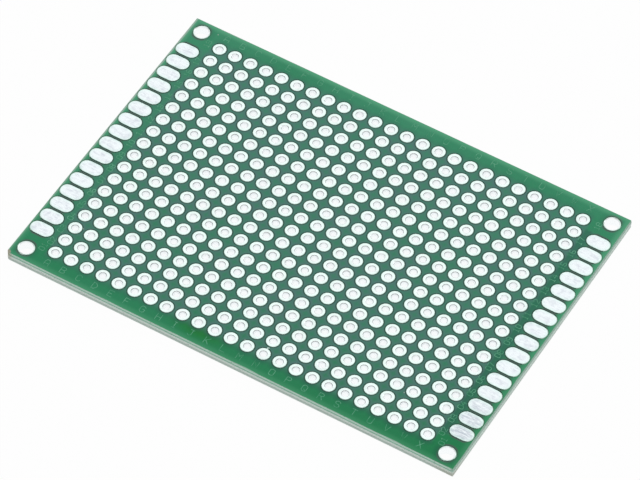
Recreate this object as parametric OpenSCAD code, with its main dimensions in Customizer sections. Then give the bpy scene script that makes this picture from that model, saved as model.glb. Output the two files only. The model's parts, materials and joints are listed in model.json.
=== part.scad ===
// Double-sided prototype board: a perforated glass-epoxy board with a grid of plated-through,
// tinned holes, a file of long tinned pads down each short side and a screw hole in each
// corner. It was scored on both faces and snapped out of a larger panel.
//
// The origin is under the middle of the board, on the surface that the board rests on. +X runs
// along the lettered columns, +Y from row 01 to the last row and +Z up. All sizes are in mm.

/* [Board] */
// Length between the score lines of the two short sides
board_x = 70; // [69:0.5:120]
// Width between the score lines of the two long sides
board_y = 50; // [48:0.5:120]
// Thickness of the bare laminate
laminate_t = 1.46; // [1.2:0.01:3]
// Radius of the worn front left corner
worn_corner_r = 0.8; // [0.2:0.05:1.5]

/* [Snapped edges] */
// Depth of the score in the upper face
score_top = 0.4; // [0.1:0.05:0.5]
// Depth of the score in the lower face
score_bottom = 0.6; // [0.1:0.05:0.65]
// Angle between a score's wall and the vertical
score_angle = 15; // [5:1:25]
// How far the snapped web stands out past the score line
snap_proud = 0.05; // [0.01:0.01:0.15]

/* [Hole grid] */
// Number of lettered columns
columns = 24; // [2:1:24]
// Number of numbered rows
rows = 18; // [3:1:18]
// Distance between neighbouring holes
pitch = 2.54; // [2.3:0.01:2.6]
// Finished bore of a lead hole
hole_d = 1; // [0.6:0.05:1.2]
// Outer diameter of a round pad
pad_d = 2; // [1.7:0.05:2.1]
// Radius of the rounded mouth of a lead hole
hole_mouth_r = 0.1; // [0.05:0.01:0.12]

/* [Plating] */
// Thickness of the plated wall inside a drilled hole
barrel_t = 0.05; // [0.04:0.005:0.1]
// Height of a pad's tin above the laminate, at its crown
tin_crown = 0.07; // [0.06:0.01:0.09]
// Height of the tin at the outer edge of a pad
tin_shoulder = 0.04; // [0.03:0.01:0.05]

/* [Edge pads] */
// Length of an edge pad, with its round ends
edge_pad_l = 3.45; // [2.5:0.05:3.6]
// Width of an edge pad
edge_pad_w = 2.05; // [1:0.05:2.1]
// Distance from a score line to the end of the pads
edge_pad_margin = 0.3; // [0.25:0.05:0.4]
// Width of the rim over which an edge pad's tin falls away to its shoulder
edge_pad_rim = 0.3; // [0.1:0.05:0.5]

/* [Screw holes] */
// Finished bore of a screw hole
screw_hole_d = 2.1; // [1.5:0.1:2.4]
// Width of the tinned ring around a screw hole
screw_ring_w = 0.15; // [0.12:0.01:0.2]
// Distance from the score lines to the centre of a screw hole
screw_inset = 2; // [1.9:0.05:2.1]
// Radius of the rounded mouth of a screw hole
screw_mouth_r = 0.04; // [0.03:0.01:0.06]
// Height of a screw hole's narrow ring above the laminate, at its crown
screw_crown = 0.05; // [0.045:0.001:0.055]

/* [Solder mask] */
// Thickness of the solder mask
mask_t = 0.025; // [0.015:0.005:0.03]
// Gap between tin and the mask around it
mask_gap = 0.08; // [0.05:0.01:0.1]

/* [Hidden] */
$fn = 48;
// Segments of the wide, shallow arcs over the tin
arc_fn = 240;
// Extra length of a cutting solid past the face that it cuts
over = 1;

drill_d = hole_d + 2 * barrel_t;
screw_drill_d = screw_hole_d + 2 * barrel_t;
screw_ring_d = screw_hole_d + 2 * screw_ring_w;

// Heights above the resting surface
laminate_z = tin_crown;
laminate_top_z = laminate_z + laminate_t;
middle_z = laminate_z + laminate_t / 2;

// Set-back of each face's edge from the snapped web
top_set_back = score_top * tan(score_angle);
bottom_set_back = score_bottom * tan(score_angle);

edge_pad_x = board_x / 2 - edge_pad_margin - edge_pad_l / 2;

function row_node(row) = str("plated_holes_row_", row < 10 ? "0" : "", row);
function column_x(column) = (column - (columns + 1) / 2) * pitch;
function row_y(row) = (row - (rows + 1) / 2) * pitch;
// Half of a span between score lines, measured out to the snapped web
function web_reach(span) = span / 2 + snap_proud;
// Radius of the arc that rises by rise over half a chord
function arc_radius(half_chord, rise) = (pow(half_chord, 2) + pow(rise, 2)) / (2 * rise);

// Copies its children to the four screw holes
module at_screw_holes() {
    for (side_x = [-1, 1], side_y = [-1, 1])
        translate([side_x * (board_x / 2 - screw_inset), side_y * (board_y / 2 - screw_inset)])
            children();
}

// Copies its children to every lead hole of one row
module at_row(row) {
    for (column = [1 : columns]) translate([column_x(column), row_y(row)]) children();
}

// Copies its children to the edge pads on one side: -1 is the left, 1 the right
module at_edge_pads(side) {
    for (row = [2 : rows - 1]) translate([side * edge_pad_x, row_y(row)]) children();
}

// Outline of the front left corner's lost material, outside the rounding
module worn_corner_outline() {
    translate([-web_reach(board_x), -web_reach(board_y)]) difference() {
        translate([-over, -over]) square(worn_corner_r + over);
        translate([worn_corner_r, worn_corner_r]) circle(worn_corner_r);
    }
}

// Section across the board between two snapped edges, standing on the laminate's underside
module snapped_section(span) {
    web = web_reach(span);
    polygon([
        [bottom_set_back - web, 0],
        [web - bottom_set_back, 0],
        [web, score_bottom],
        [web, laminate_t - score_top],
        [web - top_set_back, laminate_t],
        [top_set_back - web, laminate_t],
        [-web, laminate_t - score_top],
        [-web, score_bottom]
    ]);
}

// The glass-epoxy plate, scored and snapped on its four sides and drilled through
module laminate() {
    color("#b7d3c1") translate([0, 0, laminate_z]) difference() {
        intersection() {
            rotate([90, 0, 0]) linear_extrude(2 * board_y, center = true) snapped_section(board_x);
            rotate([90, 0, 90]) linear_extrude(2 * board_x, center = true) snapped_section(board_y);
        }
        translate([0, 0, -over]) linear_extrude(laminate_t + 2 * over) {
            worn_corner_outline();
            at_screw_holes() circle(d = screw_drill_d);
            for (row = [1 : rows]) at_row(row) circle(d = drill_d);
        }
    }
}

// Outline with two round ends, lying along X
module round_ended(length, width) {
    square([length - width, width], center = true);
    for (side = [-1, 1]) translate([side * (length - width) / 2, 0]) circle(d = width);
}

// A coat of solder mask, open round every pad. set_back is that of the face it covers.
module solder_mask(set_back) {
    linear_extrude(mask_t) difference() {
        square(2 * [web_reach(board_x) - set_back, web_reach(board_y) - set_back], center = true);
        worn_corner_outline();
        at_screw_holes() circle(d = screw_ring_d + 2 * mask_gap);
        for (row = [1 : rows]) at_row(row) circle(d = pad_d + 2 * mask_gap);
        for (side = [-1, 1]) at_edge_pads(side)
            round_ended(edge_pad_l + 2 * mask_gap, edge_pad_w + 2 * mask_gap);
    }
}

module solder_mask_top() {
    color("#2f8a5c") translate([0, 0, laminate_top_z]) solder_mask(top_set_back);
}

module solder_mask_bottom() {
    color("#2f8a5c") translate([0, 0, laminate_z - mask_t]) solder_mask(bottom_set_back);
}

// Half section of the plating in one hole, X outwards and Y up from the board's middle. On each
// face a ring of tin swells to its crown and turns into the barrel in one smooth curve: the
// crown's arc touches the mouth's arc, which touches the barrel's wall.
module plated_hole_section(bore_d, ring_d, mouth_r, crown) {
    bore_r = bore_d / 2;
    ring_r = ring_d / 2;
    crown_r = (bore_r + mouth_r + ring_r) / 2;
    half_width = ring_r - crown_r;
    arc_r = arc_radius(half_width, crown - tin_shoulder);
    arc_y = crown - arc_r;
    mouth_x = bore_r + mouth_r;
    mouth_y = arc_y + sqrt(pow(arc_r - mouth_r, 2) - pow(half_width, 2));
    touch_x = crown_r - half_width * arc_r / (arc_r - mouth_r);
    difference() {
        union() {
            translate([bore_r, -laminate_t / 2]) square([barrel_t, laminate_t]);
            for (face = [0, 1]) mirror([0, face]) translate([0, laminate_t / 2]) intersection() {
                translate([bore_r, 0]) square([ring_r - bore_r, crown]);
                translate([crown_r, arc_y]) circle(arc_r, $fn = arc_fn);
            }
        }
        for (face = [0, 1]) mirror([0, face]) translate([0, laminate_t / 2]) difference() {
            translate([bore_r - over, mouth_y]) square([touch_x - bore_r + over, over]);
            translate([mouth_x, mouth_y]) circle(mouth_r);
        }
    }
}

// The plating of one hole: a barrel through the board with a tinned ring on each face
module plated_hole(bore_d, ring_d, mouth_r, crown) {
    translate([0, 0, middle_z]) rotate_extrude()
        plated_hole_section(bore_d, ring_d, mouth_r, crown);
}

// The plated lead holes of one numbered row
module plated_holes_row(row) {
    color("#e4e9ea") at_row(row) plated_hole(hole_d, pad_d, hole_mouth_r, tin_crown);
}

module screw_hole_plating() {
    color("#e4e9ea") at_screw_holes()
        plated_hole(screw_hole_d, screw_ring_d, screw_mouth_r, screw_crown);
}

// Half section across an edge pad: flat in the middle, falling in an arc to the rim's shoulder
module edge_pad_half_section() {
    flat = edge_pad_w / 2 - edge_pad_rim;
    arc_r = arc_radius(edge_pad_rim, tin_crown - tin_shoulder);
    square([flat, tin_crown]);
    intersection() {
        translate([flat, 0]) square([edge_pad_rim, tin_crown]);
        translate([flat, tin_crown - arc_r]) circle(arc_r, $fn = arc_fn);
    }
}

// One edge pad lying along X: a straight stretch between two half-round ends
module edge_pad() {
    straight = edge_pad_l - edge_pad_w;
    rotate([90, 0, 90]) linear_extrude(straight, center = true) for (half = [0, 1])
        mirror([half, 0]) edge_pad_half_section();
    for (end = [0, 1]) mirror([end, 0]) translate([straight / 2, 0]) rotate([0, 0, -90])
        rotate_extrude(angle = 180) edge_pad_half_section();
}

// The edge pads on the upper face, on one side
module edge_pads_top(side) {
    color("#e6e6f0") translate([0, 0, laminate_top_z]) at_edge_pads(side) edge_pad();
}

// The edge pads on the lower face, on one side
module edge_pads_bottom(side) {
    color("#e6e6f0") translate([0, 0, laminate_z]) mirror([0, 0, 1]) at_edge_pads(side) edge_pad();
}

laminate();
solder_mask_top();
solder_mask_bottom();
screw_hole_plating();
edge_pads_top(-1);  // edge_pads_top_left
edge_pads_top(1);  // edge_pads_top_right
edge_pads_bottom(-1);  // edge_pads_bottom_left
edge_pads_bottom(1);  // edge_pads_bottom_right
for (row = [1 : rows]) plated_holes_row(row);
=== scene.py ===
import functools
import json
import math

import bmesh
import bpy
import numpy as np
from mathutils import Matrix, Vector


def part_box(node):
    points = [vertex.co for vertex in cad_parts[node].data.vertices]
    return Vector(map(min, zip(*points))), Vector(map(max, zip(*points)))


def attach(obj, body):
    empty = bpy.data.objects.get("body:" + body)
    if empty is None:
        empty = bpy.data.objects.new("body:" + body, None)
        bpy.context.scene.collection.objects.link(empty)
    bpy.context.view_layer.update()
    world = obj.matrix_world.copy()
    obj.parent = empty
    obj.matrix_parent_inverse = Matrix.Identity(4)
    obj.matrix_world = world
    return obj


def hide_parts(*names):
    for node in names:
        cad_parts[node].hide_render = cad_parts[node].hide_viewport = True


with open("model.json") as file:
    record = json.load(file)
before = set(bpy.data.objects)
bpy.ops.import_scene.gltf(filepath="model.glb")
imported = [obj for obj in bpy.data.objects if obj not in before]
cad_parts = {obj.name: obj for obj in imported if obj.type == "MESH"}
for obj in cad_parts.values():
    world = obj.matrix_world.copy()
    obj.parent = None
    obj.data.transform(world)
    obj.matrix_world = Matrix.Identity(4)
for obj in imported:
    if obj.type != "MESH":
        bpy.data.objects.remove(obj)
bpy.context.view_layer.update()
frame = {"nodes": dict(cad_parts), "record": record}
mm = 0.001
perMillimetre = 1000.0
nodes = frame["nodes"]
print("frame loaded with", len(nodes), "nodes")

# places and sizes that come from the frame
boardLow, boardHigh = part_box("laminate")
maskLow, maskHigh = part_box("solder_mask_top")
underLow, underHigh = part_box("solder_mask_bottom")
barLow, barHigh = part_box("edge_pads_top_right")
rowNames = sorted(name for name in nodes if name.startswith("plated_holes_row_"))
rowBoxes = [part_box(name) for name in rowNames]
rowYs = np.array([(low.y + high.y) / 2 for low, high in rowBoxes])
pitch = rowYs[1] - rowYs[0]
padRadius = (rowBoxes[0][1].y - rowBoxes[0][0].y) / 2
columnCount = round((rowBoxes[0][1].x - rowBoxes[0][0].x - 2 * padRadius) / pitch) + 1
columnXs = (np.arange(columnCount) - (columnCount - 1) / 2) * pitch
crownTop = rowBoxes[0][1].z
tinHeight = crownTop - boardHigh.z
screwMount = next(m for m in frame["record"]["mounts"] if m["name"] == "screw_holes")
screwX = screwMount["dims"]["spacing_x_mm"] / 2 * mm
screwY = screwMount["dims"]["spacing_y_mm"] / 2 * mm
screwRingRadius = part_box("screw_hole_plating")[1].x - screwX
fullTurn = 2 * math.pi
weldReach = 1e-7  # points of a mesh that lie this close are one point
cutReach = 1e-8


# Corner numbers of the faces of a grid with `rings` rows of `steps` points, joined round where asked
def gridQuads(rings, steps, closeRings=True, closeSteps=True):
    i = np.arange(rings if closeRings else rings - 1)[:, None]
    j = np.arange(steps if closeSteps else steps - 1)[None, :]
    i2, j2 = (i + 1) % rings, (j + 1) % steps
    corners = [i * steps + j, i2 * steps + j, i2 * steps + j2, i * steps + j2]
    return np.stack(np.broadcast_arrays(*corners), axis=-1).reshape(-1, 4)


# The same faces once for each copy, with the corner numbers moved on by the points of a copy
def repeatQuads(quads, copies, pointsEach):
    return (quads[None] + (np.arange(copies) * pointsEach)[:, None, None]).reshape(-1, 4)


def addObject(name, data):
    made = bpy.data.objects.new(name, data)
    bpy.context.scene.collection.objects.link(made)
    return made


# Each step in turn changes the mesh's points and faces
def editMesh(mesh, *steps):
    work = bmesh.new()
    work.from_mesh(mesh)
    for step in steps:
        step(work)
    work.to_mesh(mesh)
    work.free()


def weld(work):
    bmesh.ops.remove_doubles(work, verts=work.verts, dist=weldReach)


def dropSlivers(work):
    bmesh.ops.dissolve_degenerate(work, edges=work.edges, dist=weldReach)


def faceOutwards(work):
    bmesh.ops.recalc_face_normals(work, faces=work.faces)


def meshPiece(name, points, quads, sharpAngle=50, welded=False):
    mesh = bpy.data.meshes.new(name)
    mesh.vertices.add(len(points))
    mesh.vertices.foreach_set("co", np.ascontiguousarray(points, np.float32).ravel())
    mesh.loops.add(quads.size)
    mesh.loops.foreach_set("vertex_index", np.ascontiguousarray(quads, np.int32).ravel())
    mesh.polygons.add(len(quads))
    mesh.polygons.foreach_set("loop_start", np.arange(0, quads.size, quads.shape[1], dtype=np.int32))
    mesh.update(calc_edges=True)
    if welded:
        editMesh(mesh, weld, dropSlivers)
    mesh.shade_smooth()
    mesh.set_sharp_from_angle(angle=math.radians(sharpAngle))
    return addObject(name, mesh)


def finishPiece(piece, material, slotName, *stoodFor):
    piece.data.materials.clear()
    piece.data.materials.append(material)
    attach(piece, "root")
    if stoodFor:
        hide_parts(*stoodFor)


# A colour given as 0 to 255 for each channel, as the renderer's linear values
def rgb(red, green, blue):
    share = np.array([red, green, blue]) / 255
    linear = np.where(share <= 0.04045, share / 12.92, ((share + 0.055) / 1.055) ** 2.4)
    return (*linear.tolist(), 1.0)


# Links each named input to its socket, or sets it to its value
def connect(inputs, feeds):
    for name, value in feeds.items():
        if isinstance(value, bpy.types.NodeSocket):
            value.id_data.links.new(value, inputs[name])
        else:
            inputs[name].default_value = value


# Outputs of a new node. Unless a tree is named, it is made in the tree of the first socket among its feeds.
def place(kind, feeds, tree=None, **settings):
    if tree is None:
        tree = next(value.id_data for value in feeds.values() if isinstance(value, bpy.types.NodeSocket))
    made = tree.nodes.new(kind)
    for name, value in settings.items():
        setattr(made, name, value)
    connect(made.inputs, feeds)
    return made.outputs


# One math node, or a chain of them where more than two values are joined
def maths(operation, *values, clamp=False):
    if len(values) > 2:
        values = maths(operation, *values[:-1]), values[-1]
    return place("ShaderNodeMath", dict(enumerate(values)), operation=operation, use_clamp=clamp)[0]


plus, minus, times, divided, lesser, greater, size = (
    functools.partial(maths, operation)
    for operation in ("ADD", "SUBTRACT", "MULTIPLY", "DIVIDE", "MINIMUM", "MAXIMUM", "ABSOLUTE"))


def remap(value, fromLow, fromHigh, toLow=0.0, toHigh=1.0, kind="LINEAR"):
    feeds = {"Value": value, "From Min": fromLow, "From Max": fromHigh, "To Min": toLow, "To Max": toHigh}
    return place("ShaderNodeMapRange", feeds, interpolation_type=kind)["Result"]


smooth = functools.partial(remap, kind="SMOOTHSTEP")


# Remaps a value between two places beside a line, given in units from it
def across(value, line, start, end, toLow=0.0, toHigh=1.0, unit=mm, kind="LINEAR"):
    return remap(value, line + start * unit, line + end * unit, toLow, toHigh, kind)


def mixColour(factor, first, second):
    return place("ShaderNodeMix", {0: factor, 6: first, 7: second}, data_type="RGBA")[2]


# Lays colours of a piece's dictionary over a colour, each through its own mask
def layered(colour, spec, layers):
    for mask, name in layers:
        colour = mixColour(mask, colour, spec[name])
    return colour


def noise(vector, scale, detail=2.0, roughness=0.5, distortion=0.0):
    feeds = {"Vector": vector, "Scale": scale, "Detail": detail, "Roughness": roughness,
             "Distortion": distortion}
    return place("ShaderNodeTexNoise", feeds)[0]


def stretched(vector, scale, rotation=(0, 0, 0)):
    return place("ShaderNodeMapping", {"Vector": vector, "Rotation": rotation, "Scale": scale})[0]


def axes(vector):
    return place("ShaderNodeSeparateXYZ", {0: vector})


def awayFrom(vector, spot):
    return place("ShaderNodeVectorMath", {0: vector, 1: spot}, operation="DISTANCE")["Value"]


def bumped(height, strength, depth):
    return place("ShaderNodeBump", {"Height": height, "Strength": strength, "Distance": depth})[0]


# Starts a node group. An input's kind follows from its value: none for a vector, four numbers for a colour.
def startGroup(name, inputs, outputs):
    tree = bpy.data.node_groups.new(name, "ShaderNodeTree")
    for label, value in inputs.items():
        kind = "Vector" if value is None else "Color" if isinstance(value, tuple) else "Float"
        socket = tree.interface.new_socket(label, in_out="INPUT", socket_type="NodeSocket" + kind)
        if value is not None:
            socket.default_value = value
    for label in outputs:
        kind = "Color" if label == "Color" else "Float"
        tree.interface.new_socket(label, in_out="OUTPUT", socket_type="NodeSocket" + kind)
    return tree, tree.nodes.new("NodeGroupInput").outputs, tree.nodes.new("NodeGroupOutput").inputs


def fillGroup(group, feeds):
    return place("ShaderNodeGroup", feeds, node_tree=group)


def emptyTree(owner):
    owner.use_nodes = True
    owner.node_tree.nodes.clear()
    return owner.node_tree


def startMaterial(name):
    material = bpy.data.materials.new(name)
    tree = emptyTree(material)
    shader = tree.nodes.new("ShaderNodeBsdfPrincipled")
    connect(tree.nodes.new("ShaderNodeOutputMaterial").inputs, {"Surface": shader.outputs[0]})
    return material, shader.inputs, tree.nodes.new("ShaderNodeTexCoord").outputs


# Bands, here and below, are: from low, from high, and then to low and to high where they aren't 0 and 1
clothShape = {"wanderScale": 260.0, "crossing": (-0.15, 0.15)}
weave = {"Yarns per mm": 1.7, "Unevenness": 1.2}


# Plain weave: on every second square of the yarn grid the warp's cosine ridge shows, on the others the weft's
def makeGlassCloth():
    tree, given, out = startGroup("glassCloth", {
        "Vector": None, "Yarns per mm": 1.8, "Unevenness": 0.3}, ["Height"])
    shift = times(minus(noise(given["Vector"], clothShape["wanderScale"]), 0.5), given["Unevenness"])
    turns = times(given["Yarns per mm"], math.pi * perMillimetre)
    sineX, sineY = [maths("SINE", plus(times(value, turns), shift)) for value in axes(given["Vector"])[:2]]
    over = remap(times(sineX, sineY), *clothShape["crossing"])
    ridges = place("ShaderNodeMix", {0: over, 2: size(sineX), 3: size(sineY)}, data_type="FLOAT")[0]
    connect(out, {"Height": ridges})
    return tree


skinShape = {
    "patches": (3.0, 0.55, 0.6),  # of each noise: detail, roughness, distortion
    "streaks": (2.0, 0.6, 0.3),
    "grain": (2.0, 0.6),
    "streakStretch": (0.35, 2.2, 1.0),
    "streakScale": 1.6,  # against the patches
    "grainScale": 9.0,
    "patchShare": 0.55,
    "streakShare": 0.45,
    "dullBand": (0.42, 0.68),
    "pitBand": (0.27, 0.34, 1.0, 0.0),
    "pitDullness": 0.35,
    "grainRoughness": 0.15,
    "grainHeight": 0.12,
    "roughness": (0.0, 1.0, 0.22, 0.5),
}


# Frozen tin: broad patches and short streaks of duller metal, with fine pits where the noise is lowest
def makeTinSkin():
    spec = skinShape
    tree, given, out = startGroup("tinSkin", {
        "Vector": None, "Patches per mm": 1.0, "Bright": (1, 1, 1, 1), "Dull": (0.5, 0.5, 0.5, 1),
        "Dullness": 0.5, "Streak turn": None}, ["Color", "Roughness", "Height"])
    scale = times(given["Patches per mm"], perMillimetre)
    patches = noise(given["Vector"], scale, *spec["patches"])
    turned = stretched(given["Vector"], spec["streakStretch"], given["Streak turn"])
    streaks = noise(turned, times(scale, spec["streakScale"]), *spec["streaks"])
    grain = noise(given["Vector"], times(scale, spec["grainScale"]), *spec["grain"])
    both = plus(times(patches, spec["patchShare"]), times(streaks, spec["streakShare"]))
    dull = times(smooth(both, *spec["dullBand"]), given["Dullness"])
    pits = times(remap(grain, *spec["pitBand"]), spec["pitDullness"])
    connect(out, {
        "Color": mixColour(pits, mixColour(dull, given["Bright"], given["Dull"]), given["Dull"]),
        "Roughness": remap(plus(dull, times(grain, spec["grainRoughness"])), *spec["roughness"]),
        "Height": plus(both, times(grain, spec["grainHeight"]))})
    return tree


chipShape = {
    "ragged": (900.0, 3.0, 0.6),
    "rareScale": 150.0,
    "rareBand": (0.5, 0.75),
    "rareReach": 3.0,
    "chippedShare": 0.6,
    "rubbed": (0.0, 3.0, 1.0, 0.0),  # in reaches
}


# Distance to the nearest score line, with a ragged limit: 1 where the mask has chipped off the line, 0 inside
def makeScoreWear():
    spec = chipShape
    tree, given, out = startGroup("scoreWear", {
        "Vector": None, "Half length": 0.035, "Half width": 0.025, "Reach": 0.0002}, ["Chipped", "Rubbed"])
    x, y, _ = axes(given["Vector"])
    gap = lesser(minus(given["Half length"], size(x)), minus(given["Half width"], size(y)))
    ragged = noise(given["Vector"], *spec["ragged"])
    rare = remap(noise(given["Vector"], spec["rareScale"]), *spec["rareBand"])
    limit = times(given["Reach"], plus(times(rare, spec["rareReach"]), ragged))
    connect(out, {"Chipped": maths("LESS_THAN", gap, times(limit, spec["chippedShare"])),
                  "Rubbed": remap(divided(gap, given["Reach"]), *spec["rubbed"])})
    return tree


# Distance to the nearest copper, in millimetres, and to the mask's outline. The nearest round pad's centre
# is the pitch times the rounded count of pitches, held inside the grid. An edge pad is a straight spine with
# a radius. A screw hole's ring is a radius alone. The board is mirrored, so both use |x|, and the rings |y|.
def makeCopperGap():
    tree, given, out = startGroup("copperGap", {"Vector": None}, ["Gap", "To outline"])
    x, y = [times(value, perMillimetre) for value in axes(given["Vector"])[:2]]
    sideX, sideY = size(x), size(y)

    # Distance along one axis to the nearest place of a row that is centred on zero and ends at `last` pitches
    def fromNearest(value, last):
        steps = divided(value, pitch / mm)
        nearest = plus(maths("ROUND", minus(steps, 0.5)), 0.5)
        return times(minus(steps, greater(lesser(nearest, last), -last)), pitch / mm)

    def lengthOf(a, b):
        return maths("SQRT", plus(times(a, a), times(b, b)))

    rowLast, columnLast = (len(rowYs) - 1) / 2, (columnCount - 1) / 2
    roundGap = minus(lengthOf(fromNearest(x, columnLast), fromNearest(y, rowLast)), padRadius / mm)
    barRadius = (barHigh.y - rowYs[-2]) / mm
    barSpine = ((barHigh.x - barLow.x) / mm - 2 * barRadius) / 2
    pastSpine = greater(minus(size(minus(sideX, (barLow.x + barHigh.x) / 2 / mm)), barSpine), 0.0)
    barGap = minus(lengthOf(pastSpine, fromNearest(y, rowLast - 1)), barRadius)
    ringGap = minus(lengthOf(minus(sideX, screwX / mm), minus(sideY, screwY / mm)), screwRingRadius / mm)
    connect(out, {"Gap": lesser(roundGap, barGap, ringGap),
                  "To outline": lesser(minus(maskHigh.x / mm, sideX), minus(maskHigh.y / mm, sideY))})
    return tree


# Small round specks: a share of the cells of a random point field, with a disc of one size round the point
def makeSpecks():
    edge = (0.6, 1.0, 1.0, 0.0)  # in sizes from the speck's middle
    tree, given, out = startGroup("specks", {
        "Vector": None, "Per mm": 0.8, "Size": 0.06, "Share": 0.3}, ["Mask"])
    scale = times(given["Per mm"], perMillimetre)
    cells = place("ShaderNodeTexVoronoi", {"Vector": given["Vector"], "Scale": scale})
    kept = maths("LESS_THAN", place("ShaderNodeSeparateColor", {0: cells["Color"]})[0], given["Share"])
    connect(out, {"Mask": times(remap(divided(cells["Distance"], given["Size"]), *edge), kept)})
    return tree


glassCloth, tinSkin, scoreWear, specks = makeGlassCloth(), makeTinSkin(), makeScoreWear(), makeSpecks()
copperGap = makeCopperGap()
print("shared effects ready")

# The two coats of solder mask are the CAD's own. Distances are in millimetres unless a note says otherwise.
solderMask = {
    "deep": rgb(2, 136, 80),
    "frontRightShade": rgb(0, 128, 64),  # painted shade, deepening the green towards the front right
    "light": rgb(44, 144, 104),
    "thick": rgb(0, 132, 44),  # where the coat has run together on the front margin
    "paintedSheen": rgb(72, 160, 122),  # painted sheen, most towards the back
    "copperShade": rgb(84, 128, 122),  # painted shade near the copper, grey between the pads
    "shade": rgb(6, 84, 70),  # beside the outer pads, most at the front right
    "barGapShade": rgb(86, 94, 95),  # and painted shade, darker grey, between the edge pads
    "rim": rgb(10, 58, 44),  # painted shade: a dark line where the coat ends beside the tin
    "glow": rgb(110, 198, 152),  # light that comes through the laminate's edge
    "haze": rgb(196, 210, 203),  # rubbed strip along the left edge, most at the back
    "worn": rgb(178, 170, 152),  # bare, soiled laminate on the front left corner
    "bare": rgb(150, 194, 170),  # laminate where the coat has chipped
    "dust": rgb(190, 206, 196),
    "clouds": (60.0, 3.0, 0.55),
    "cloudBand": (0.3, 0.7),
    "toneShares": (0.45, 0.15, 0.4),  # of the clouds, the cloth and the way back, the last a painted light that grows towards the back
    "backSlant": 0.2,
    "backShares": (1.3, 1.2),  # of the half width, in front and behind
    "rightSlant": 0.5,
    "chipReach": 0.07 * mm,
    "specks": {"Per mm": 0.35, "Size": 0.045, "Share": 0.25},
    "dustShare": 0.6,
    "paintedSheenShare": (0.0, 1.0, 0.3, 0.6),
    "frontRightShadeBand": (12 * mm, 45 * mm, 0.0, 0.5),
    "thickStretch": 3.2,
    "thickPlace": (-5.5 * mm, -22.9 * 3.2 * mm, 0.0),
    "thickBand": (0.0, 6.0 * mm, 0.9, 0.0),
    "filmGap": (0.2, 0.8, 0.95, 0.36),
    "filmEnds": (0.1, 0.8, 1.0, 0.0),  # past the edge pads' inner ends
    "filmColumns": (1.1, 1.4, 1.0, 0.55),  # past the last column
    "filmRows": (0.0, 0.6, 1.0, 0.1),  # pitches past the last row
    "filmScale": 260.0,
    "filmPatches": (0.3, 0.7, 0.62, 1.05),
    "besideBarsX": (-1.2, -0.6),
    "besideBarsY": (0.4, 0.8),  # pitches past the last edge pad
    "stripColumns": (1.0, 1.3),
    "stripBars": (0.0, 0.6, 0.4, 0.0),
    "outerRows": (0.2, 0.4),  # pitches past the last row
    "outerRight": (5 * mm, 30 * mm, 0.2, 0.5),
    "outerGap": (0.1, 1.0, 1.0, 0.0),
    "barFilmInner": (0.2, 1.0),
    "barFilmOuter": (-0.9, -0.2, 1.0, 0.0),
    "barFilmGap": (0.22, 0.4, 0.85, 0.0),
    "glowBand": (0.0, 1.1, 0.6, 0.0),
    "glowBehind": (0.0, 1.0, 0.35, 0.9),
    "hazeBand": (0.1, 0.38, 0.9, 0.0),
    "hazeShares": (0.9, 0.3),
    "hazeBehind": (0.2, 0.75),
    "byScrews": (-1.7, -1.4),
    "rimGap": (0.08, 0.22, 0.75, 0.0),
    "rimByScrews": (0.0, 1.0, 1.0, 0.4),
    "peelScale": 1400.0,
    "peelReach": 0.5 * mm,
    "wornBand": (0.7 * mm, 0.85 * mm, 0.9, 0.0),
    "bump": (0.12, 0.02 * mm),
    "roughness": (0.0, 2.0, 0.3, 0.5),
    "specular": 0.2,
}


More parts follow.
